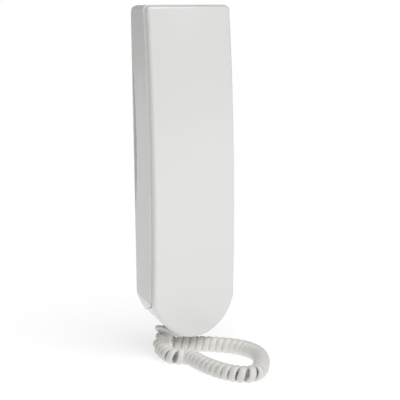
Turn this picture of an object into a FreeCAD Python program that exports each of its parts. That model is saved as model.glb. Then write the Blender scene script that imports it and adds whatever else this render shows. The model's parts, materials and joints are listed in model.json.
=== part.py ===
"""Slimline wall handset station: a shallow wall base, a full-length handset that covers it, and a curly cord.

Frame: millimetres, +Z up, the wall is the plane Y = 0 and the front faces -Y.
The origin is the centre of the two wall-screw holes, half way up the back.
"""
import FreeCAD, Part
import math
import os

from FreeCAD import Vector

# ---- overall form -------------------------------------------------------------------------
HEIGHT = 225.0
WIDTH = 62.8
TOP = HEIGHT / 2
BOTTOM = -HEIGHT / 2
SHOULDER = BOTTOM + 26.0        # the straight sides end here, in front, and the round bottom begins
CREASE = 0.3                    # how far the bottom curve has already turned in where it leaves the sides
TOP_CORNER = 3.0                # corner radius of the outline at the top
REAR_RISE = 5.4                 # the round bottom stands this much higher at the wall than at the front
RISE_DEPTH = 26.5               # depth over which it rises
HANDSET_INSET = 0.9             # the handset's sides stand this far inside the base's sides
PART_MID = 24.5                 # depth of the parting line half way up
PART_BOW = 5.2                  # how far it bows forward over the height
FRONT_MID = 31.6                # depth of the front face half way up, on the centre line
FRONT_BOW_RADIUS = 1255.0       # lengthwise curve of the front face
FRONT_CROWN_RADIUS = 193.5      # curve of the front face across its width
BOW_HALF_TURN = 10.0            # half angle of the front's curve, more than the height needs
FRONT_EDGE = 2.0                # rounding of the front face's edge
GAP = 0.25                      # clearance between the handset and the base
WALL = 2.2                      # plastic wall of the base
SHELL = 2.0                     # plastic wall of the handset
POST_BORE = 2.0                 # depth of the screw holes in the front shell's posts
SCREW_GRIP = 1.6                # how far the screws reach in front of the rear cover
FAR = 60.0                      # larger than any half size across or in depth

# ---- base and wall plate ------------------------------------------------------------------
FLANGE = 1.2                    # thickness of the wall plate's visible flange
PLATE = 2.4                     # thickness of the wall plate
RIM_INSET = 2.5                 # the plate's upstand stands inside the housing's walls
RIM_DEPTH = 6.5
REAR_TOP_ROUND = 3.5            # rounding of the top edge at the wall
ARCH_LOW = -28.0                # the housing's rear edge arches away from the plate between these heights
ARCH_HIGH = 78.0
ARCH_DEPTH = 4.0
SEAM_FRONT_Z = BOTTOM + 25.5    # the base ends at a slanted seam; the handset's chin fills the space below it
SEAM_REAR_Z = BOTTOM + 17.5
SEAM_GAP = 0.5
CHIN_BACK = 0.8                 # the chin stops this far in front of the wall

WALL_SCREW_Z = 70.0
WALL_SCREW_R = 2.25
CABLE_WINDOW = (20.0, 14.0)     # width and height of the cable entry
CABLE_WINDOW_Z = BOTTOM + 59.0
HOUSING_SCREW_X = 22.0
HOUSING_SCREW_Z = (BOTTOM + 36.0, BOTTOM + 200.5)
HOUSING_SCREW_R = 1.5

# ---- recesses in the base, bosses on the handset --------------------------------------------
EAR_Z = BOTTOM + 188.0
EAR_R = 21.0
EAR_BACK = 12.9                 # depth of the ear boss's end face
MOUTH_Z = BOTTOM + 45.0
MOUTH_R = 13.0
MOUTH_BACK = 13.9
CUP_GAP = 1.3                   # radial room round each boss
CUP_FLOOR_GAP = 0.7
CUP_WALL = 1.8
WELL = (34.0, 60.0)             # width and height of the button well
WELL_Z = BOTTOM + 108.0
WELL_FLOOR = 19.0               # depth of the well's floor

# ---- electronics ----------------------------------------------------------------------------
BOARD = (48.0, 88.0, 1.6)
BOARD_Z = BOTTOM + 116.0
BOARD_BACK = 5.6
BOARD_FRONT = BOARD_BACK + BOARD[2]
BOARD_SCREW = (20.5, 40.0)      # offsets of the board's screws from its centre
BUTTONS = (("release_button", BOTTOM + 120.0, 6.0), ("call_button", BOTTOM + 97.0, 4.5))
BUTTON_GAP = 0.4
BUTTON_FACE = 21.6
BUTTON_FLANGE = 1.5
SWITCH_HEIGHT = 4.0
HOOK_Z = BOTTOM + 152.0
HOOK_R = 3.0
HOOK_TIP = 23.9
BUZZER_XZ = (-14.5, BOTTOM + 138.0)
SLIDER_Z = BOTTOM + 140.0
SLIDER_Y = -11.0
SLIDER_TRAVEL = 4.0

# ---- cord -----------------------------------------------------------------------------------
SURFACE_Z = BOTTOM - 13.0       # the surface that the loose cord lies on
COIL_D = 11.2
LEAD_D = 2.6
# Middle line of the coil from the handset's end to the base's end: x, y, height above the surface.
COIL_ROUTE = [
    (-14.7, -12.8, 16.8), (-21.0, -12.6, 8.8), (-22.0, -22.3, 6.1), (-22.4, -35.8, 5.8), (-12.4, -38.6, 5.8),
    (-11.9, -48.8, 5.6), (-11.9, -60.4, 5.6), (-10.2, -72.6, 5.6), (-7.1, -84.2, 5.6), (-0.3, -94.0, 5.6),
    (8.7, -93.4, 5.6), (16.6, -84.9, 5.6), (25.0, -72.6, 5.6), (31.7, -56.2, 5.6), (29.7, -39.1, 5.6),
    (19.5, -25.7, 5.6), (7.2, -15.2, 5.6), (-5.8, -7.5, 6.6),
]
LEAD_HANDSET_ROUTE = [
    (-9.5, -17.5, 15.2), (-12.8, -17.6, 16.8), (-16.6, -17.7, 19.0), (-20.8, -17.4, 21.6),
    (-22.0, -13.8, 21.2), (-20.2, -10.4, 19.0), (-18.0, -8.8, 16.4),
]
LEAD_BASE_ROUTE = [(-8.8, -3.6, 17.0), (-8.8, -3.6, 9.4), (-6.6, -7.2, 9.4)]
GLAND_XY = (-8.8, -4.0)
NOTCH = (-15.5, -3.5, 9.5)      # sides in X and depth of the chin's notch for the base's lead
CHIN_GLAND = (-9.5, -3.5, -17.5, BOTTOM + 2.2, 2.0)     # end x, start x, y, z and radius


def parting(z):
    """Depth of the parting surface between the base and the handset at height z."""
    radius = (TOP ** 2 + PART_BOW ** 2) / (2 * PART_BOW)
    return PART_MID - radius + math.sqrt(radius ** 2 - z ** 2)


def rise(depth):
    """How far the round bottom stands above BOTTOM at this depth from the wall."""
    return REAR_RISE * (1 - depth / RISE_DEPTH)


def outline(depth, inset):
    """The front outline at one depth: straight sides, square top, part of an ellipse at the bottom."""
    y = -depth
    half = WIDTH / 2 - inset
    top = TOP - inset
    corner = max(TOP_CORNER - inset, 0.8)
    knee = corner * (1 - math.sqrt(0.5))
    shoulder = SHOULDER + rise(depth)
    lowest = BOTTOM + rise(depth) + inset
    tall = (shoulder - lowest) / (1 - CREASE)
    wide = half / math.sqrt(1 - CREASE ** 2)
    centre = Vector(0, y, lowest + tall)
    ellipse = Part.Ellipse(Vector(0, y, lowest), Vector(wide, y, lowest + tall), centre)
    half_sweep = math.acos(CREASE)
    left_low = Vector(-half, y, shoulder)
    left_high = Vector(-half, y, top - corner)
    left_top = Vector(-half + corner, y, top)
    right_top = Vector(half - corner, y, top)
    right_high = Vector(half, y, top - corner)
    right_low = Vector(half, y, shoulder)
    edges = [
        Part.LineSegment(left_low, left_high).toShape(),
        Part.Arc(left_high, Vector(-half + knee, y, top - knee), left_top).toShape(),
        Part.LineSegment(left_top, right_top).toShape(),
        Part.Arc(right_top, Vector(half - knee, y, top - knee), right_high).toShape(),
        Part.LineSegment(right_high, right_low).toShape(),
        Part.ArcOfEllipse(ellipse, -half_sweep, half_sweep).toShape(),
    ]
    return Part.Wire(edges)


def column(inset, back=-1.0, front=34.0):
    """The outline carried from depth back to depth front."""
    return Part.makeLoft([outline(back, inset), outline(front, inset)], True, True)


def side_prism(edges):
    """A solid as wide as everything, cut to a side-view outline of edges in the Y-Z plane."""
    face = Part.Face(Part.Wire([edge.toShape() for edge in edges]))
    face.translate(Vector(-FAR, 0, 0))
    return face.extrude(Vector(2 * FAR, 0, 0))


def yz(depth, z):
    return Vector(0, -depth, z)


def line(a, b):
    return Part.LineSegment(yz(*a), yz(*b))


def parting_arc(offset, low, high):
    """The parting line, moved forward by offset, from height low to height high."""
    middle = (low + high) / 2
    points = [yz(parting(z) + offset, z) for z in (low, middle, high)]
    return Part.Arc(*points)


def box(x, depth, z):
    """A block from three (low, high) pairs; depth is measured from the wall."""
    size = (x[1] - x[0], depth[1] - depth[0], z[1] - z[0])
    return Part.makeBox(*size, Vector(x[0], -depth[1], z[0]))


def pad(x, z, width, height, back, front):
    """A block centred on (x, z) between two depths."""
    return box((x - width / 2, x + width / 2), (back, front), (z - height / 2, z + height / 2))


def rod(radius, x, z, back, front):
    """A cylinder along the depth direction."""
    return Part.makeCylinder(radius, front - back, Vector(x, -back, z), Vector(0, -1, 0))


def rim_at(solid, depth):
    """The edges of a solid that lie wholly at one depth."""
    return [edge for edge in solid.Edges
            if abs(edge.BoundBox.YMin + depth) < 0.01 and abs(edge.BoundBox.YMax + depth) < 0.01]


def front_body(skin):
    """Everything behind the front face, moved back by skin: a crowned section turned about a distant axis."""
    crown = FRONT_CROWN_RADIUS - skin
    crown_y = FRONT_CROWN_RADIUS - FRONT_MID
    edge_y = crown_y - math.sqrt(crown ** 2 - FAR ** 2)
    left = Vector(-FAR, edge_y, 0)
    right = Vector(FAR, edge_y, 0)
    back_left = Vector(-FAR, 4 * FAR, 0)
    back_right = Vector(FAR, 4 * FAR, 0)
    section = Part.Face(Part.Wire([
        Part.Arc(left, Vector(0, crown_y - crown, 0), right).toShape(),
        Part.LineSegment(right, back_right).toShape(),
        Part.LineSegment(back_right, back_left).toShape(),
        Part.LineSegment(back_left, left).toShape(),
    ]))
    pivot = Vector(0, FRONT_BOW_RADIUS - FRONT_MID, 0)
    section.rotate(pivot, Vector(1, 0, 0), -BOW_HALF_TURN)
    return section.revolve(pivot, Vector(1, 0, 0), 2 * BOW_HALF_TURN)


def seam(depth):
    """Height of the slanted seam under the base at this depth."""
    slope = (SEAM_FRONT_Z - SEAM_REAR_Z) / parting(SEAM_FRONT_Z)
    return SEAM_REAR_Z + slope * depth


def both_sides(x):
    return (-x, x)


# ---- the base -------------------------------------------------------------------------------
def wall_plate():
    low = seam(0)
    top = TOP - REAR_TOP_ROUND
    flange_profile = side_prism([
        line((0, low), (FLANGE, seam(FLANGE))),
        line((FLANGE, seam(FLANGE)), (FLANGE, top)),
        line((FLANGE, top), (0, top - FLANGE)),
        line((0, top - FLANGE), (0, low)),
    ])
    floor = WALL + 0.3
    plate_profile = side_prism([
        line((0, low + floor), (RIM_DEPTH, seam(RIM_DEPTH) + floor)),
        line((RIM_DEPTH, seam(RIM_DEPTH) + floor), (RIM_DEPTH, TOP)),
        line((RIM_DEPTH, TOP), (FLANGE, TOP)),
        line((FLANGE, TOP), (FLANGE, top - FLANGE)),
        line((FLANGE, top - FLANGE), (0, top - FLANGE)),
        line((0, top - FLANGE), (0, low + floor)),
    ])
    upstand = column(RIM_INSET).cut(column(RIM_INSET + WALL))
    panel = column(RIM_INSET).common(pad(0, 0, WIDTH, HEIGHT, 0, PLATE))
    plate = panel.fuse(upstand).common(plate_profile).fuse(column(0.3).common(flange_profile))
    for x in both_sides(BOARD_SCREW[0]):
        for z in both_sides(BOARD_SCREW[1]):
            plate = plate.fuse(rod(2.6, x, BOARD_Z + z, 0, BOARD_BACK))
            plate = plate.cut(rod(1.1, x, BOARD_Z + z, PLATE, BOARD_BACK))
    for x in both_sides(HOUSING_SCREW_X):
        for z in HOUSING_SCREW_Z:
            plate = plate.fuse(rod(4.0, x, z, 0, 4.6))
            plate = plate.cut(rod(HOUSING_SCREW_R + 0.15, x, z, 0, 4.6))
            plate = plate.cut(rod(3.0, x, z, 0, 1.7))
    for z in both_sides(WALL_SCREW_Z):
        plate = plate.cut(rod(WALL_SCREW_R, 0, z, 0, PLATE))
    plate = plate.cut(pad(0, CABLE_WINDOW_Z, *CABLE_WINDOW, 0, PLATE))
    x, y = GLAND_XY
    return plate.cut(box((x - 3.5, x + 3.5), (FLANGE, RIM_DEPTH + 1), (low, low + 9)))


def base_outer():
    """The base's filled outer form: parting surface in front, arched rear edge, slanted seam below."""
    back = FLANGE
    knee = REAR_TOP_ROUND * (1 - math.sqrt(0.5))
    middle = (ARCH_LOW + ARCH_HIGH) / 2
    rounded = TOP - REAR_TOP_ROUND
    start = SEAM_FRONT_Z
    profile = side_prism([
        parting_arc(0, start, TOP),
        line((parting(TOP), TOP), (back + REAR_TOP_ROUND, TOP)),
        Part.Arc(yz(back + REAR_TOP_ROUND, TOP), yz(back + knee, TOP - knee), yz(back, rounded)),
        line((back, rounded), (back, ARCH_HIGH)),
        Part.Arc(yz(back, ARCH_HIGH), yz(back + ARCH_DEPTH, middle), yz(back, ARCH_LOW)),
        line((back, ARCH_LOW), (back, seam(back))),
        line((back, seam(back)), (parting(start), start)),
    ])
    return column(0).common(profile)


def base_inner():
    start = SEAM_FRONT_Z + WALL
    profile = side_prism([
        parting_arc(-WALL, start, TOP),
        line((parting(TOP) - WALL, TOP), (-2, TOP)),
        line((-2, TOP), (-2, seam(-2) + WALL)),
        line((-2, seam(-2) + WALL), (parting(start) - WALL, start)),
    ])
    return column(WALL, back=-2).common(profile)


def base_housing():
    hull = base_outer()
    housing = hull.cut(base_inner())
    cups = [(EAR_R, EAR_Z, EAR_BACK), (MOUTH_R, MOUTH_Z, MOUTH_BACK)]
    for radius, z, back in cups:
        floor = back - CUP_FLOOR_GAP
        solid = rod(radius + CUP_GAP + CUP_WALL, 0, z, floor - CUP_WALL, FAR).common(hull)
        housing = housing.fuse(solid)
    well = pad(0, WELL_Z, WELL[0] + 2 * CUP_WALL, WELL[1] + 2 * CUP_WALL, WELL_FLOOR - CUP_WALL, FAR)
    housing = housing.fuse(well.common(hull))
    for x in both_sides(HOUSING_SCREW_X):
        for z in HOUSING_SCREW_Z:
            housing = housing.fuse(rod(3.4, x, z, 4.7, 21.0).common(hull))
            housing = housing.cut(rod(HOUSING_SCREW_R, x, z, 4.0, 13.0))
    for radius, z, back in cups:
        housing = housing.cut(rod(radius + CUP_GAP, 0, z, back - CUP_FLOOR_GAP, FAR))
    housing = housing.cut(pad(0, WELL_Z, *WELL, WELL_FLOOR, FAR))
    for _, z, radius in BUTTONS:
        housing = housing.cut(rod(radius + BUTTON_GAP, 0, z, 10, 30))
    housing = housing.cut(rod(HOOK_R + 0.4, 0, HOOK_Z, 18, 30))
    slot = box((WIDTH / 2 - 5, WIDTH / 2 + 5), (-SLIDER_Y - 1.7, -SLIDER_Y + 1.7),
               (SLIDER_Z - SLIDER_TRAVEL - 2.0, SLIDER_Z + SLIDER_TRAVEL + 2.0))
    housing = housing.cut(slot)
    for step in range(4):
        z = EAR_Z - 9 + 6 * step
        housing = housing.cut(box((WIDTH / 2 - 5, WIDTH / 2 + 5), (8, 17), (z - 0.8, z + 0.8)))
    x, y = GLAND_XY
    return housing.cut(Part.makeCylinder(2.1, 9, Vector(x, y, seam(-y) - 3)))


def circuit_board():
    board = pad(0, BOARD_Z, BOARD[0], BOARD[1], BOARD_BACK, BOARD_FRONT)
    for x in both_sides(BOARD_SCREW[0]):
        for z in both_sides(BOARD_SCREW[1]):
            board = board.cut(rod(1.3, x, BOARD_Z + z, 0, 10))
    return board


def board_screws():
    screws = []
    for x in both_sides(BOARD_SCREW[0]):
        for z in both_sides(BOARD_SCREW[1]):
            head = rod(2.2, x, BOARD_Z + z, BOARD_FRONT, BOARD_FRONT + 1.6)
            head = head.cut(pad(x, BOARD_Z + z, 3.6, 0.6, BOARD_FRONT + 0.9, BOARD_FRONT + 2))
            screws.append(head.fuse(rod(1.0, x, BOARD_Z + z, PLATE + 0.4, BOARD_FRONT)))
    return Part.makeCompound(screws)


def housing_screws():
    screws = []
    for x in both_sides(HOUSING_SCREW_X):
        for z in HOUSING_SCREW_Z:
            head = rod(2.8, x, z, 0.2, 1.7)
            head = head.cut(pad(x, z, 4.4, 0.8, 0, 1.0)).cut(pad(x, z, 0.8, 4.4, 0, 1.0))
            screws.append(head.fuse(rod(HOUSING_SCREW_R - 0.05, x, z, 1.7, 12.0)))
    return Part.makeCompound(screws)


TERMINALS = [-9.0, -3.0, 3.0, 9.0]
TERMINAL_Z = BOTTOM + 79.0


def terminal_block():
    block = pad(0, TERMINAL_Z, 26, 9, BOARD_FRONT, BOARD_FRONT + 8.5)
    for x in TERMINALS:
        block = block.cut(rod(1.9, x, TERMINAL_Z, BOARD_FRONT + 3.0, 30))
        entry = Part.makeCylinder(1.3, 6, Vector(x, -BOARD_FRONT - 2.0, TERMINAL_Z - 5))
        block = block.cut(entry)
    return block


def terminal_screws():
    screws = []
    for x in TERMINALS:
        screw = rod(1.8, x, TERMINAL_Z, BOARD_FRONT + 4.0, BOARD_FRONT + 7.2)
        screws.append(screw.cut(pad(x, TERMINAL_Z, 4, 0.6, BOARD_FRONT + 6.4, 30)))
    return Part.makeCompound(screws)


def button_switches():
    """The small push switches on the board, one under each button."""
    switches = []
    for _, z, _ in BUTTONS:
        body = pad(0, z, 6, 6, BOARD_FRONT, BOARD_FRONT + SWITCH_HEIGHT)
        switches.append(body.fuse(rod(1.7, 0, z, BOARD_FRONT, BOARD_FRONT + SWITCH_HEIGHT + 0.6)))
    return Part.makeCompound(switches)


def push_button(z, radius):
    floor_back = WELL_FLOOR - CUP_WALL
    cap = rod(radius, 0, z, floor_back - 1.6, BUTTON_FACE)
    cap = cap.makeFillet(0.8, rim_at(cap, BUTTON_FACE))
    flange = rod(radius + BUTTON_FLANGE, 0, z, floor_back - 1.6, floor_back - 0.3)
    stem_end = BOARD_FRONT + SWITCH_HEIGHT + 0.6 + 1.8
    return cap.fuse(flange).fuse(rod(2.4, 0, z, stem_end, floor_back - 1.0))


def hook_plunger():
    tip = rod(HOOK_R, 0, HOOK_Z, 15.0, HOOK_TIP)
    tip = tip.makeFillet(1.2, rim_at(tip, HOOK_TIP))
    flange = rod(4.8, 0, HOOK_Z, 15.0, 16.4)
    return tip.fuse(flange).fuse(rod(1.2, 0, HOOK_Z, 12.6, 15.0))


def hook_switch():
    body = pad(0, HOOK_Z, 11, 7, BOARD_FRONT, BOARD_FRONT + 4.6)
    return body.fuse(pad(0, HOOK_Z, 2, 3, BOARD_FRONT, BOARD_FRONT + 5.2))


def hook_spring():
    """A compression spring between the hook switch and the plunger's flange."""
    start = BOARD_FRONT + 4.9
    turns = 4
    length = 14.5 - start
    helix = Part.makeHelix(length / turns, length, 2.6)
    profile = Part.Wire(Part.makeCircle(0.3, Vector(2.6, 0, 0), Vector(0, 1, 0)))
    spring = Part.Wire(helix.Edges).makePipeShell([profile], True, True)
    spring.rotate(Vector(0, 0, 0), Vector(1, 0, 0), 90)
    spring.translate(Vector(0, -start, HOOK_Z))
    return spring


def buzzer():
    x, z = BUZZER_XZ
    return rod(7.5, x, z, BOARD_FRONT, BOARD_FRONT + 5.5).cut(rod(1.2, x, z, BOARD_FRONT + 3, FAR))


def slide_switch():
    body = box((19.5, 27.4), (BOARD_FRONT, 14.6), (SLIDER_Z - 8, SLIDER_Z + 8))
    channel = box((23, 30), (-SLIDER_Y - 1.6, -SLIDER_Y + 1.6),
                  (SLIDER_Z - SLIDER_TRAVEL - 1.6, SLIDER_Z + SLIDER_TRAVEL + 1.6))
    return body.cut(channel)


def volume_slider():
    stem = box((24, WIDTH / 2 + 0.4), (-SLIDER_Y - 1.2, -SLIDER_Y + 1.2), (SLIDER_Z - 1.2, SLIDER_Z + 1.2))
    grip = box((WIDTH / 2 + 0.4, WIDTH / 2 + 1.8), (-SLIDER_Y - 2.6, -SLIDER_Y + 2.6),
               (SLIDER_Z - 3.4, SLIDER_Z + 3.4))
    outer = [edge for edge in grip.Edges if edge.BoundBox.XMin > WIDTH / 2 + 1.7]
    grip = grip.makeFillet(0.5, outer)
    for step in (-1.6, 0, 1.6):
        ridge = Part.makeCylinder(0.35, 6, Vector(WIDTH / 2 + 1.8, SLIDER_Y - 3, SLIDER_Z + step), Vector(0, 1, 0))
        grip = grip.cut(ridge)
    return stem.fuse(grip)


def base_gland():
    """The strain relief that carries the cord's lead out of the base, into the chin's notch."""
    x, y = GLAND_XY
    top = seam(-y) + WALL + 1.2
    end = SURFACE_Z + LEAD_BASE_ROUTE[0][2]
    sleeve = Part.makeCone(1.7, 2.6, seam(-y) - 1.8 - end, Vector(x, y, end))
    neck = Part.makeCylinder(2.0, top + 0.3 - seam(-y) + 1.8, Vector(x, y, seam(-y) - 1.8))
    collar = Part.makeCylinder(2.7, 1.4, Vector(x, y, top + 0.3))
    return sleeve.fuse(neck).fuse(collar)


# ---- the handset ----------------------------------------------------------------------------


def handset_profile(skin):
    """Side-view outline of the handset behind its front face; skin moves its rear faces forward."""
    start = SEAM_FRONT_Z
    back = CHIN_BACK + skin
    drop = SEAM_GAP + skin
    return side_prism([
        parting_arc(GAP + skin, start - drop, TOP),
        line((parting(TOP) + GAP + skin, TOP), (FAR, TOP)),
        line((FAR, TOP), (FAR, BOTTOM - 5)),
        line((FAR, BOTTOM - 5), (back, BOTTOM - 5)),
        line((back, BOTTOM - 5), (back, seam(back) - drop)),
        line((back, seam(back) - drop), (parting(start - drop) + GAP + skin, start - drop)),
    ])


def notch_block(extra):
    return box((NOTCH[0] - extra, NOTCH[1] + extra), (-5, NOTCH[2] + extra), (BOTTOM - 5, SEAM_FRONT_Z + 5))


def handset_outer():
    body = column(HANDSET_INSET).common(front_body(0)).common(handset_profile(0))
    front_face = min(body.Faces, key=lambda face: face.CenterOfMass.y)
    return body.makeFillet(FRONT_EDGE, front_face.Edges)


def screw_posts():
    return [(x, z) for x in both_sides(20.0) for z in (BOTTOM + 72.0, BOTTOM + 158.0)]


def handset_front():
    inside = column(HANDSET_INSET + SHELL).common(front_body(SHELL)).common(handset_profile(-1))
    body = handset_outer()
    shell = body.cut(inside.cut(notch_block(SHELL))).cut(notch_block(0))
    for x, z in screw_posts():
        back = parting(z) + GAP + SHELL + 0.2
        post = rod(3.2, x, z, back, FAR).common(body).cut(rod(1.2, x, z, 0, back + POST_BORE))
        shell = shell.fuse(post)
    return shell.cut(chin_gland())


def handset_rear():
    fit = HANDSET_INSET + SHELL + 0.1
    skin = handset_profile(0).cut(handset_profile(SHELL))
    cover = column(fit).common(skin).common(front_body(SHELL + 0.1)).cut(notch_block(SHELL + 0.1))
    for radius, z, back in ((EAR_R, EAR_Z, EAR_BACK), (MOUTH_R, MOUTH_Z, MOUTH_BACK)):
        front = parting(z) + GAP + SHELL
        cover = cover.cut(rod(radius - 0.5, 0, z, 0, FAR))
        ring = rod(radius, 0, z, back, front)
        ring = ring.makeFillet(1.2, rim_at(ring, back))
        cover = cover.fuse(ring.cut(rod(radius - 1.6, 0, z, back + 1.6, FAR)))
    for ring_radius, count in ((0.0, 1), (5.0, 6), (10.0, 12)):
        for step in range(count):
            angle = 2 * math.pi * step / count
            x, z = ring_radius * math.cos(angle), EAR_Z + ring_radius * math.sin(angle)
            cover = cover.cut(rod(1.0, x, z, EAR_BACK - 1, EAR_BACK + 3))
    for step in range(-2, 3):
        cover = cover.cut(pad(0, MOUTH_Z + 3.0 * step, 9, 1.2, MOUTH_BACK - 1, MOUTH_BACK + 3))
    for x, z in screw_posts():
        cover = cover.cut(rod(1.45, x, z, 0, FAR))
        cover = cover.cut(rod(2.6, x, z, 0, parting(z) + GAP + 1.1))
    return cover


def handset_screws():
    screws = []
    for x, z in screw_posts():
        outer = parting(z) + GAP
        head = rod(2.4, x, z, outer + 0.1, outer + 1.1)
        head = head.cut(pad(x, z, 3.8, 0.6, 0, outer + 0.6)).cut(pad(x, z, 0.6, 3.8, 0, outer + 0.6))
        screws.append(head.fuse(rod(1.1, x, z, outer + 1.1, outer + SHELL + SCREW_GRIP)))
    return Part.makeCompound(screws)


def ear_gasket():
    back = EAR_BACK + 1.6
    return rod(EAR_R - 1.8, 0, EAR_Z, back, back + 1.2).cut(rod(13.5, 0, EAR_Z, 0, FAR))


def earpiece_capsule():
    back = EAR_BACK + 2.8
    can = rod(17.5, 0, EAR_Z, back, back + 6.0)
    can = can.fuse(rod(9.0, 0, EAR_Z, back + 6.0, back + 8.6))
    return can.cut(rod(12.5, 0, EAR_Z, 0, back + 0.8))


def microphone_boot():
    back = MOUTH_BACK + 1.6
    sleeve = rod(MOUTH_R - 1.8, 0, MOUTH_Z, back, back + 7.5)
    return sleeve.cut(rod(4.9, 0, MOUTH_Z, 0, FAR))


def microphone_capsule():
    back = MOUTH_BACK + 2.4
    return rod(4.85, 0, MOUTH_Z, back, back + 5.2).cut(rod(1.0, 0, MOUTH_Z, 0, back + 1.0))


def handset_weight():
    bar = pad(0, BOTTOM + 112.0, 26, 64, 26.9, 28.5)
    upright = [edge for edge in bar.Edges if edge.Length < 2.5]
    return bar.makeFillet(3.0, upright)


def chin_gland():
    """The boot at the chin's underside that the cord's lead comes out of."""
    end_x, start_x, y, z, radius = CHIN_GLAND
    boot = Part.makeCylinder(radius, start_x - end_x, Vector(end_x, y, z), Vector(1, 0, 0))
    flange = Part.makeCylinder(radius + 1.0, 1.2, Vector(start_x, y, z + 3.6), Vector(0, 0, 1))
    neck = Part.makeCylinder(radius, 3.8, Vector(start_x, y, z))
    return boot.fuse(neck).fuse(flange)


# ---- the cord -------------------------------------------------------------------------------
def tube(name, route, diameter):
    """A tube through the route: straight runs, with the largest tangent arc at each point."""
    points = [Vector(x, y, SURFACE_Z + height) for x, y, height in route]
    edges = []
    at = points[0]
    radii = []
    for before, corner, after in zip(points, points[1:], points[2:]):
        back = (before - corner).normalize()
        ahead = (after - corner).normalize()
        half_turn = (math.pi - back.getAngle(ahead)) / 2
        reach = 0.45 * min(before.distanceToPoint(corner), corner.distanceToPoint(after))
        radius = reach / math.tan(half_turn)
        radii.append(round(radius, 1))
        start = corner + back * reach
        end = corner + ahead * reach
        inward = (back + ahead).normalize()
        middle = corner + inward * (radius / math.cos(half_turn) - radius)
        edges.append(Part.LineSegment(at, start).toShape())
        edges.append(Part.Arc(start, middle, end).toShape())
        at = end
    edges.append(Part.LineSegment(at, points[-1]).toShape())
    path = Part.Wire(edges)
    section = Part.Wire(Part.makeCircle(diameter / 2, points[0], points[1] - points[0]))
    solid = path.makePipeShell([section], True, False)
    expected = math.pi * diameter ** 2 / 4 * path.Length
    print(name, "length", round(path.Length, 1), "radii", radii,
          "volume / (section x length)", round(solid.Volume / expected, 4))
    return solid


def build():
    parts = {
        "wall_plate": wall_plate(),
        "base_housing": base_housing(),
        "housing_screws": housing_screws(),
        "circuit_board": circuit_board(),
        "board_screws": board_screws(),
        "terminal_block": terminal_block(),
        "terminal_screws": terminal_screws(),
        "button_switches": button_switches(),
        "hook_plunger": hook_plunger(),
        "hook_spring": hook_spring(),
        "hook_switch": hook_switch(),
        "buzzer": buzzer(),
        "slide_switch": slide_switch(),
        "volume_slider": volume_slider(),
        "base_gland": base_gland(),
        "handset_front": handset_front(),
        "handset_rear": handset_rear(),
        "handset_screws": handset_screws(),
        "ear_gasket": ear_gasket(),
        "earpiece_capsule": earpiece_capsule(),
        "microphone_boot": microphone_boot(),
        "microphone_capsule": microphone_capsule(),
        "handset_weight": handset_weight(),
        "chin_gland": chin_gland(),
        "cord_coil": tube("cord_coil", COIL_ROUTE, COIL_D),
        "cord_lead_handset": tube("cord_lead_handset", LEAD_HANDSET_ROUTE, LEAD_D),
        "cord_lead_base": tube("cord_lead_base", LEAD_BASE_ROUTE, LEAD_D),
    }
    for name, z, radius in BUTTONS:
        parts[name] = push_button(z, radius)
    return parts


def main():
    os.makedirs("parts", exist_ok=True)
    for name, shape in build().items():
        shape.exportStep("parts/" + name + ".step")
        print(name, "valid", shape.isValid(), "solids", len(shape.Solids), "volume", round(shape.Volume, 1))


main()
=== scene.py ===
"""Looks for the slimline wall handset station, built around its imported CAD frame.

Metres, in the CAD's frame: +Z up, the wall is the plane Y = 0 and the front faces -Y.
"""

import json
import math

import bpy
import numpy as np
from mathutils import Matrix, Vector

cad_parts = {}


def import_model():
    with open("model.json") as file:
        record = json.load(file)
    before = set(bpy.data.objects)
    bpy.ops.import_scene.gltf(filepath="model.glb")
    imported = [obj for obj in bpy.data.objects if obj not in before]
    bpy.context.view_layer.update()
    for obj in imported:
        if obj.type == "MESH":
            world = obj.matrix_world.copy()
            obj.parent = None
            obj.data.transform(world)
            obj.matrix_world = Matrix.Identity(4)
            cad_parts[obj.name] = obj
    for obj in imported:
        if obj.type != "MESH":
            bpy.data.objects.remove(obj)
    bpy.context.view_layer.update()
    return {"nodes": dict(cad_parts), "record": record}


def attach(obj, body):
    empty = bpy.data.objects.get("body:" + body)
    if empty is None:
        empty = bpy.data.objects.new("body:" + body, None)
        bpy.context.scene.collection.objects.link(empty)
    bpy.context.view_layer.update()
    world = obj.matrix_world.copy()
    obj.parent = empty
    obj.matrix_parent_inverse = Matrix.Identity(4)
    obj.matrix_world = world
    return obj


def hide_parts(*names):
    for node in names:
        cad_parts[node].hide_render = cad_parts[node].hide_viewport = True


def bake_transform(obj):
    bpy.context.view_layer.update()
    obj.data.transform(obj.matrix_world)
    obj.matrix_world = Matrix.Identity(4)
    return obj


MM = 0.001

# ---- camera ----------------------------------------------------------------------------------
CAMERA_AT = Vector((-0.3532, -0.6931, 0.0995))
CAMERA_YAW = math.radians(28.235)       # turned from +Y towards +X
CAMERA_PITCH = math.radians(8.76)       # looking down
CAMERA_ROLL = math.radians(-0.73)
SENSOR = 36.0
LENS = 102.5
CLIP_END = 50.0

# ---- cord ------------------------------------------------------------------------------------
SURFACE_Z = -0.1255             # the surface that the loose cord lies on
CABLE_WIDTH = 4.8 * MM          # the cord is a flattish cable wound on its flatter side
CABLE_THICK = 2.9 * MM
COIL_RADIUS = 4.1 * MM          # from the coil's middle line to the cable's
COIL_PITCH = 5.0 * MM
STEPS_PER_TURN = 24             # rings of the cable's mesh per turn of the coil
SECTION_POINTS = 16             # points round the cable's section
SQUARENESS = 0.9                # 1 is an ellipse, 0 a rectangle
LEAD_IN_STEPS = 40              # rings along the handset's lead
LEAD_OUT_STEPS = 20             # rings along the base's lead
JOIN_REACH = 8                  # points each side of a join between the coil and a lead that are evened out
JOIN_PASSES = 12                # how many times they are evened out
ROUTE_RESOLUTION = 24           # steps per control point when a route is turned into a line
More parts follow.
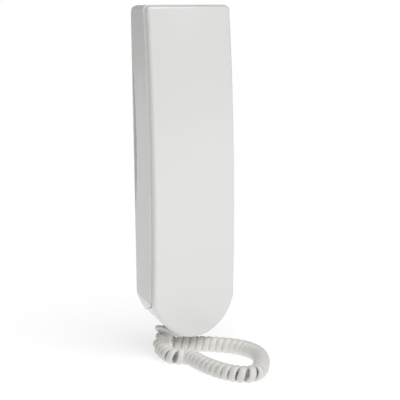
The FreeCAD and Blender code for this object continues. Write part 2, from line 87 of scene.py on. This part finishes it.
# Half section of the plug that closes the coil's end, in mm: distance out of the end, and radius.
PLUG_PROFILE = ((3.0, 1.6), (2.8, 3.4), (2.2, 4.6), (1.2, 5.2), (0.0, 5.2), (-1.0, 4.0))
PLUG_POINTS = 32
# Middle line of the coil from the handset's end to the base's end: mm, and height above the surface.
COIL_ROUTE = [
    (-14.7, -12.8, 16.8), (-21.0, -12.6, 8.8), (-22.0, -22.3, 6.1), (-22.4, -35.8, 5.8), (-12.4, -38.6, 5.8),
    (-11.9, -48.8, 5.6), (-11.9, -60.4, 5.6), (-10.2, -72.6, 5.6), (-7.1, -84.2, 5.6), (-0.3, -94.0, 5.6),
    (8.7, -93.4, 5.6), (16.6, -84.9, 5.6), (25.0, -72.6, 5.6), (31.7, -56.2, 5.6), (29.7, -39.1, 5.6),
    (19.5, -25.7, 5.6), (7.2, -15.2, 5.6), (-5.8, -7.5, 6.6),
]
LEAD_HANDSET_ROUTE = [
    (-9.5, -17.5, 15.2), (-12.8, -17.6, 16.8), (-16.6, -17.7, 19.0), (-20.8, -17.4, 21.6),
    (-22.0, -13.8, 21.2), (-20.2, -10.4, 19.0), (-18.0, -8.8, 16.4),
]
LEAD_BASE_ROUTE = [(-8.8, -3.6, 17.0), (-8.8, -3.6, 9.4), (-6.6, -7.2, 9.4)]

# ---- light -----------------------------------------------------------------------------------
BACKDROP = 1.0                  # how bright the backdrop looks
AMBIENT = 0.06                  # how much it lights the object
KEY_LIGHT = 2.4                 # one very soft light from above and in front
KEY_FROM = (0.02, -0.60, 1.0)
KEY_ANGLE = math.radians(60)
GLINT_LIGHT = 0.5               # a small, weak softbox in front and to the right
GLINT_SIZE = (0.16, 0.12)
GLINT_FROM = (0.70, -1.49, 0.49)
GLINT_TARGET = (0, 0, 0.1)
FLOOR_GLOW = 0.69               # the floor is a lit white table
FLOOR_TONE = 0.5
FLOOR_SIZE = 8.0
FLOOR_ROUGHNESS = 0.5
FLOOR_SPECULAR = 0.3

# ---- surfaces --------------------------------------------------------------------------------
CAD_SHARP_ANGLE = math.radians(28)      # edges bent more than this stay sharp
CORD_SHARP_ANGLE = math.radians(60)
GRAIN_DEPTH = 0.00005                   # height of the moulded grain
MARK_DEPTH = 0.00003                    # height of brush marks and copper tracks
COAT_ROUGHNESS = 0.12
PLASTIC_IOR = 1.5

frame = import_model()
NODES = frame["nodes"]
RECORD = frame["record"]


# ---- materials -------------------------------------------------------------------------------
def new_material(name):
    """A material with one Principled shader: returns the material, its tree and the shader."""
    material = bpy.data.materials.new(name)
    material.use_nodes = True
    tree = material.node_tree
    shader = tree.nodes["Principled BSDF"]
    return material, tree, shader


def object_noise(tree, scale, detail=3.0, roughness=0.5):
    """A noise pattern fixed to the object; returns the node."""
    place = tree.nodes.new("ShaderNodeTexCoord")
    noise = tree.nodes.new("ShaderNodeTexNoise")
    noise.inputs["Scale"].default_value = scale
    noise.inputs["Detail"].default_value = detail
    noise.inputs["Roughness"].default_value = roughness
    tree.links.new(place.outputs["Object"], noise.inputs["Vector"])
    return noise


def ramp_between(tree, source, low, high, start=0.3, end=0.7):
    """A colour ramp from low to high over the source's range start to end."""
    ramp = tree.nodes.new("ShaderNodeValToRGB")
    ramp.color_ramp.elements[0].position = start
    ramp.color_ramp.elements[1].position = end
    ramp.color_ramp.elements[0].color = (*low, 1)
    ramp.color_ramp.elements[1].color = (*high, 1)
    tree.links.new(source, ramp.inputs["Fac"])
    return ramp


def add_bump(tree, shader, source, strength, distance):
    bump = tree.nodes.new("ShaderNodeBump")
    bump.inputs["Strength"].default_value = strength
    bump.inputs["Distance"].default_value = distance
    tree.links.new(source, bump.inputs["Height"])
    tree.links.new(bump.outputs["Normal"], shader.inputs["Normal"])


def shade(colour, factor):
    return tuple(min(1.0, channel * factor) for channel in colour)


def moulded(name, colour, rough, grain, bump, mottle=0.02, coat=0.0):
    """Moulded plastic or rubber: faint mottling, slightly uneven gloss and a fine surface grain."""
    material, tree, shader = new_material(name)
    patches = object_noise(tree, 16.0, 2.0)
    darker, lighter = shade(colour, 1 - mottle), shade(colour, 1 + mottle)
    tint = ramp_between(tree, patches.outputs["Fac"], darker, lighter, 0.1, 0.9)
    tree.links.new(tint.outputs["Color"], shader.inputs["Base Color"])
    gloss = ramp_between(tree, patches.outputs["Fac"], (rough * 0.92,) * 3, (rough * 1.08,) * 3, 0.1, 0.9)
    tree.links.new(gloss.outputs["Color"], shader.inputs["Roughness"])
    fine = object_noise(tree, grain, 2.0, 0.6)
    add_bump(tree, shader, fine.outputs["Fac"], bump, GRAIN_DEPTH)
    shader.inputs["Coat Weight"].default_value = coat
    shader.inputs["Coat Roughness"].default_value = COAT_ROUGHNESS
    shader.inputs["IOR"].default_value = PLASTIC_IOR
    return material


def metal(name, colour, rough, brush_scale):
    """Plated or drawn metal with short brush marks."""
    material, tree, shader = new_material(name)
    marks = object_noise(tree, brush_scale, 5.0, 0.7)
    tint = ramp_between(tree, marks.outputs["Fac"], shade(colour, 0.88), shade(colour, 1.08))
    tree.links.new(tint.outputs["Color"], shader.inputs["Base Color"])
    gloss = ramp_between(tree, marks.outputs["Fac"], (rough * 0.75,) * 3, (rough * 1.3,) * 3)
    tree.links.new(gloss.outputs["Color"], shader.inputs["Roughness"])
    add_bump(tree, shader, marks.outputs["Fac"], 0.15, MARK_DEPTH)
    shader.inputs["Metallic"].default_value = 1.0
    return material


def laminate(name):
    """A lacquered circuit board with paler copper tracks under the lacquer."""
    material, tree, shader = new_material(name)
    place = tree.nodes.new("ShaderNodeTexCoord")
    tracks = tree.nodes.new("ShaderNodeTexBrick")
    tracks.inputs["Scale"].default_value = 90.0
    tracks.inputs["Mortar Size"].default_value = 0.06
    tracks.inputs["Color1"].default_value = (0.012, 0.10, 0.035, 1)
    tracks.inputs["Color2"].default_value = (0.014, 0.12, 0.04, 1)
    tracks.inputs["Mortar"].default_value = (0.05, 0.22, 0.08, 1)
    tree.links.new(place.outputs["Object"], tracks.inputs["Vector"])
    tree.links.new(tracks.outputs["Color"], shader.inputs["Base Color"])
    shader.inputs["Roughness"].default_value = 0.35
    add_bump(tree, shader, tracks.outputs["Fac"], 0.3, MARK_DEPTH)
    return material


SLOTS = {
    "white_plastic": moulded("white_plastic", (0.80, 0.80, 0.79), 0.26, 1400.0, 0.10, 0.012, coat=0.25),
    "plate_plastic": moulded("plate_plastic", (0.74, 0.74, 0.73), 0.45, 1600.0, 0.30, 0.02),
    "button_plastic": moulded("button_plastic", (0.36, 0.38, 0.40), 0.38, 1500.0, 0.25, 0.03),
    "dark_plastic": moulded("dark_plastic", (0.02, 0.02, 0.022), 0.45, 1500.0, 0.3, 0.10),
    "board": laminate("board"),
    "steel": metal("steel", (0.60, 0.60, 0.61), 0.28, 900.0),
    "terminal_plastic": moulded("terminal_plastic", (0.02, 0.13, 0.05), 0.42, 1500.0, 0.3, 0.06),
    "foam": moulded("foam", (0.012, 0.012, 0.013), 0.95, 2600.0, 1.0, 0.25),
    "rubber": moulded("rubber", (0.010, 0.010, 0.010), 0.75, 1200.0, 0.5, 0.15),
    "capsule_metal": metal("capsule_metal", (0.72, 0.72, 0.73), 0.34, 700.0),
    "cord_plastic": moulded("cord_plastic", (0.74, 0.73, 0.70), 0.36, 900.0, 0.18, 0.02),
}


def dress_cad_nodes():
    """Every carried-over CAD node gets its slot's material and smooth shading up to its edges."""
    slot_of = {part["node"]: part["material_slot"] for part in RECORD["subparts"]}
    for name, node in NODES.items():
        node.data.materials.clear()
        node.data.materials.append(SLOTS[slot_of[name]])
        node.data.shade_smooth()
        node.data.set_sharp_from_angle(angle=CAD_SHARP_ANGLE)


# ---- cord ------------------------------------------------------------------------------------
def route_point(point):
    return Vector((point[0] * MM, point[1] * MM, SURFACE_Z + point[2] * MM))


def route_line(name, route):
    """The points along one NURBS spline whose control points are the route's."""
    curve = bpy.data.curves.new(name, "CURVE")
    curve.dimensions = "3D"
    curve.resolution_u = ROUTE_RESOLUTION
    spline = curve.splines.new("NURBS")
    spline.points.add(len(route) - 1)
    for point, place in zip(spline.points, route):
        point.co = (*route_point(place), 1)
    spline.order_u = 3
    spline.use_endpoint_u = True
    holder = bpy.data.objects.new(name, curve)
    mesh = bpy.data.meshes.new_from_object(holder)
    line = [vertex.co.copy() for vertex in mesh.vertices]
    bpy.data.meshes.remove(mesh)
    bpy.data.objects.remove(holder)
    bpy.data.curves.remove(curve)
    return line


def evenly(line, count):
    """count points evenly spaced along a line."""
    points = np.array(line)
    along = np.concatenate([[0], np.cumsum(np.linalg.norm(np.diff(points, axis=0), axis=1))])
    at = np.linspace(0, along[-1], count)
    return [Vector(np.interp(value, along, points[:, axis]) for axis in range(3)) for value in at], along[-1]


def carried_frames(line, first_side):
    """A side direction at each point, carried along the line without twisting."""
    tangents = [(b - a).normalized() for a, b in zip(line, line[1:])]
    tangents.append(tangents[-1])
    side = (first_side - tangents[0] * first_side.dot(tangents[0])).normalized()
    sides = [side]
    for before, after in zip(tangents, tangents[1:]):
        side = before.rotation_difference(after) @ side
        side = (side - after * side.dot(after)).normalized()
        sides.append(side)
    return tangents, sides


def coil_line():
    """The cable's line round the coil, the outward direction at each of its points, and the end plug."""
    raw = route_line("coil_route", COIL_ROUTE)
    length = evenly(raw, 2)[1]
    turns = round(length / COIL_PITCH)
    line, length = evenly(raw, turns * STEPS_PER_TURN + 1)
    start = route_point(LEAD_HANDSET_ROUTE[-1]) - line[0]
    tangents, sides = carried_frames(line, start)
    cable, outward = [], []
    for step, (point, tangent, side) in enumerate(zip(line, tangents, sides)):
        angle = -2 * math.pi * step / STEPS_PER_TURN
        out = side * math.cos(angle) + tangent.cross(side) * math.sin(angle)
        cable.append(point + out * COIL_RADIUS)
        outward.append(out)
    return cable, outward, end_plug(line[0], -tangents[0], sides[0])


def flat_section(width, thick):
    """Points round the cable's oval section: (along its width, along its thickness)."""
    points = []
    for step in range(SECTION_POINTS):
        angle = 2 * math.pi * step / SECTION_POINTS
        x, y = math.cos(angle), math.sin(angle)
        points.append((width / 2 * math.copysign(abs(x) ** SQUARENESS, x),
                       thick / 2 * math.copysign(abs(y) ** SQUARENESS, y)))
    return points


def cord_piece(name, vertices, faces):
    """A smooth piece in the cord's plastic."""
    mesh = bpy.data.meshes.new(name)
    mesh.from_pydata([tuple(v) for v in vertices], [], faces)
    mesh.validate()
    mesh.materials.append(SLOTS["cord_plastic"])
    mesh.shade_smooth()
    mesh.set_sharp_from_angle(angle=CORD_SHARP_ANGLE)
    piece = bpy.data.objects.new(name, mesh)
    bpy.context.scene.collection.objects.link(piece)
    return piece


def end_plug(centre, outwards, side):
    """A low dome across the coil's open end."""
    other = outwards.cross(side)
    vertices, faces = [], []
    for step_out, radius in PLUG_PROFILE:
        for step in range(PLUG_POINTS):
            angle = 2 * math.pi * step / PLUG_POINTS
            spoke = side * math.cos(angle) + other * math.sin(angle)
            vertices.append(centre + (outwards * step_out + spoke * radius) * MM)
    for ring in range(len(PLUG_PROFILE) - 1):
        for corner in range(PLUG_POINTS):
            a = ring * PLUG_POINTS + corner
            b = ring * PLUG_POINTS + (corner + 1) % PLUG_POINTS
            faces.append((a, a + PLUG_POINTS, b + PLUG_POINTS, b))
    last = (len(PLUG_PROFILE) - 1) * PLUG_POINTS
    faces.append(tuple(range(PLUG_POINTS)))
    faces.append(tuple(reversed(range(last, last + PLUG_POINTS))))
    piece = cord_piece("coil_end_plug", vertices, faces)
    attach(piece, "handset")
    return piece


def sweep(name, line, outward):
    """A flat cable along the line, its flat side square to the outward direction at each point."""
    section = flat_section(CABLE_WIDTH, CABLE_THICK)
    vertices, faces = [], []
    count = len(section)
    for index, point in enumerate(line):
        before = line[max(index - 1, 0)]
        after = line[min(index + 1, len(line) - 1)]
        along = (after - before).normalized()
        out = (outward[index] - along * outward[index].dot(along)).normalized()
        across = along.cross(out)
        vertices += [point + across * a + out * b for a, b in section]
    for ring in range(len(line) - 1):
        for corner in range(count):
            a = ring * count + corner
            b = ring * count + (corner + 1) % count
            faces.append((a, b, b + count, a + count))
    faces.append(tuple(reversed(range(count))))
    last = (len(line) - 1) * count
    faces.append(tuple(range(last, last + count)))
    return cord_piece(name, vertices, faces)


def softened(values, middle):
    """The list with the values near index middle evened out."""
    values = list(values)
    for _ in range(JOIN_PASSES):
        for index in range(max(1, middle - JOIN_REACH), min(len(values) - 1, middle + JOIN_REACH)):
            values[index] = (values[index - 1] + values[index] * 2 + values[index + 1]) / 4
    return values


def curly_cord():
    """The whole cord as one flat cable: the handset's lead, the coil, and the base's lead."""
    coil, coil_out, plug = coil_line()
    lead_in, _ = evenly(route_line("lead_route", LEAD_HANDSET_ROUTE), LEAD_IN_STEPS)
    _, in_out = carried_frames(lead_in, Vector((0, 0, 1)))
    lead_out, _ = evenly(route_line("base_route", LEAD_BASE_ROUTE[::-1]), LEAD_OUT_STEPS)
    _, out_out = carried_frames(lead_out, coil_out[-1])
    line = lead_in[:-1] + coil + lead_out[1:]
    outward = in_out[:-1] + coil_out + out_out[1:]
    for join in (len(lead_in), len(lead_in) + len(coil)):
        line = softened(line, join)
        outward = softened(outward, join)
    piece = sweep("curly_cord", line, outward)
    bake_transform(piece)
    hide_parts("cord_coil", "cord_lead_handset", "cord_lead_base")


# ---- stage -----------------------------------------------------------------------------------
def floor():
    mesh = bpy.data.meshes.new("floor")
    half = FLOOR_SIZE / 2
    mesh.from_pydata([(-half, -half, SURFACE_Z), (half, -half, SURFACE_Z), (half, half, SURFACE_Z),
                      (-half, half, SURFACE_Z)], [], [(0, 1, 2, 3)])
    material, tree, shader = new_material("floor")
    shader.inputs["Base Color"].default_value = (FLOOR_TONE, FLOOR_TONE, FLOOR_TONE, 1)
    shader.inputs["Roughness"].default_value = FLOOR_ROUGHNESS
    shader.inputs["Specular IOR Level"].default_value = FLOOR_SPECULAR
    shader.inputs["Emission Color"].default_value = (1, 1, 1, 1)
    shader.inputs["Emission Strength"].default_value = FLOOR_GLOW
    mesh.materials.append(material)
    piece = bpy.data.objects.new("floor", mesh)
    bpy.context.scene.collection.objects.link(piece)


def camera():
    data = bpy.data.cameras.new("camera")
    data.sensor_width = SENSOR
    data.lens = LENS
    data.clip_end = CLIP_END
    piece = bpy.data.objects.new("camera", data)
    sin_yaw, cos_yaw = math.sin(CAMERA_YAW), math.cos(CAMERA_YAW)
    sin_pitch, cos_pitch = math.sin(CAMERA_PITCH), math.cos(CAMERA_PITCH)
    ahead = Vector((sin_yaw * cos_pitch, cos_yaw * cos_pitch, -sin_pitch))
    level = Vector((cos_yaw, -sin_yaw, 0))
    upright = level.cross(ahead)
    right = level * math.cos(CAMERA_ROLL) + upright * math.sin(CAMERA_ROLL)
    up = upright * math.cos(CAMERA_ROLL) - level * math.sin(CAMERA_ROLL)
    turn = Matrix((right, up, -ahead)).transposed().to_4x4()
    piece.matrix_world = Matrix.Translation(CAMERA_AT) @ turn
    bpy.context.scene.collection.objects.link(piece)
    bpy.context.scene.camera = piece


def aimed(name, data, place, target):
    lamp = bpy.data.objects.new(name, data)
    lamp.location = place
    lamp.rotation_euler = (Vector(target) - Vector(place)).to_track_quat("-Z", "Y").to_euler()
    bpy.context.scene.collection.objects.link(lamp)
    return lamp


def lights():
    key = bpy.data.lights.new("key_light", "SUN")
    key.energy = KEY_LIGHT
    key.angle = KEY_ANGLE
    aimed("key_light", key, KEY_FROM, (0, 0, 0))
    glint = bpy.data.lights.new("glint_light", "AREA")
    glint.shape = "RECTANGLE"
    glint.size, glint.size_y = GLINT_SIZE
    glint.energy = GLINT_LIGHT
    aimed("glint_light", glint, GLINT_FROM, GLINT_TARGET)


def world():
    """A white backdrop for the eye and a dimmer even light for the object."""
    place = bpy.data.worlds.new("world")
    bpy.context.scene.world = place
    place.use_nodes = True
    tree = place.node_tree
    tree.nodes.clear()
    seen = tree.nodes.new("ShaderNodeBackground")
    seen.inputs["Color"].default_value = (1, 1, 1, 1)
    seen.inputs["Strength"].default_value = BACKDROP
    lit = tree.nodes.new("ShaderNodeBackground")
    lit.inputs["Color"].default_value = (1, 1, 1, 1)
    lit.inputs["Strength"].default_value = AMBIENT
    rays = tree.nodes.new("ShaderNodeLightPath")
    mix = tree.nodes.new("ShaderNodeMixShader")
    out = tree.nodes.new("ShaderNodeOutputWorld")
    tree.links.new(rays.outputs["Is Camera Ray"], mix.inputs["Fac"])
    tree.links.new(lit.outputs["Background"], mix.inputs[1])
    tree.links.new(seen.outputs["Background"], mix.inputs[2])
    tree.links.new(mix.outputs["Shader"], out.inputs["Surface"])


bpy.context.scene.view_settings.view_transform = "Standard"
camera()
world()
lights()
floor()
dress_cad_nodes()
curly_cord()
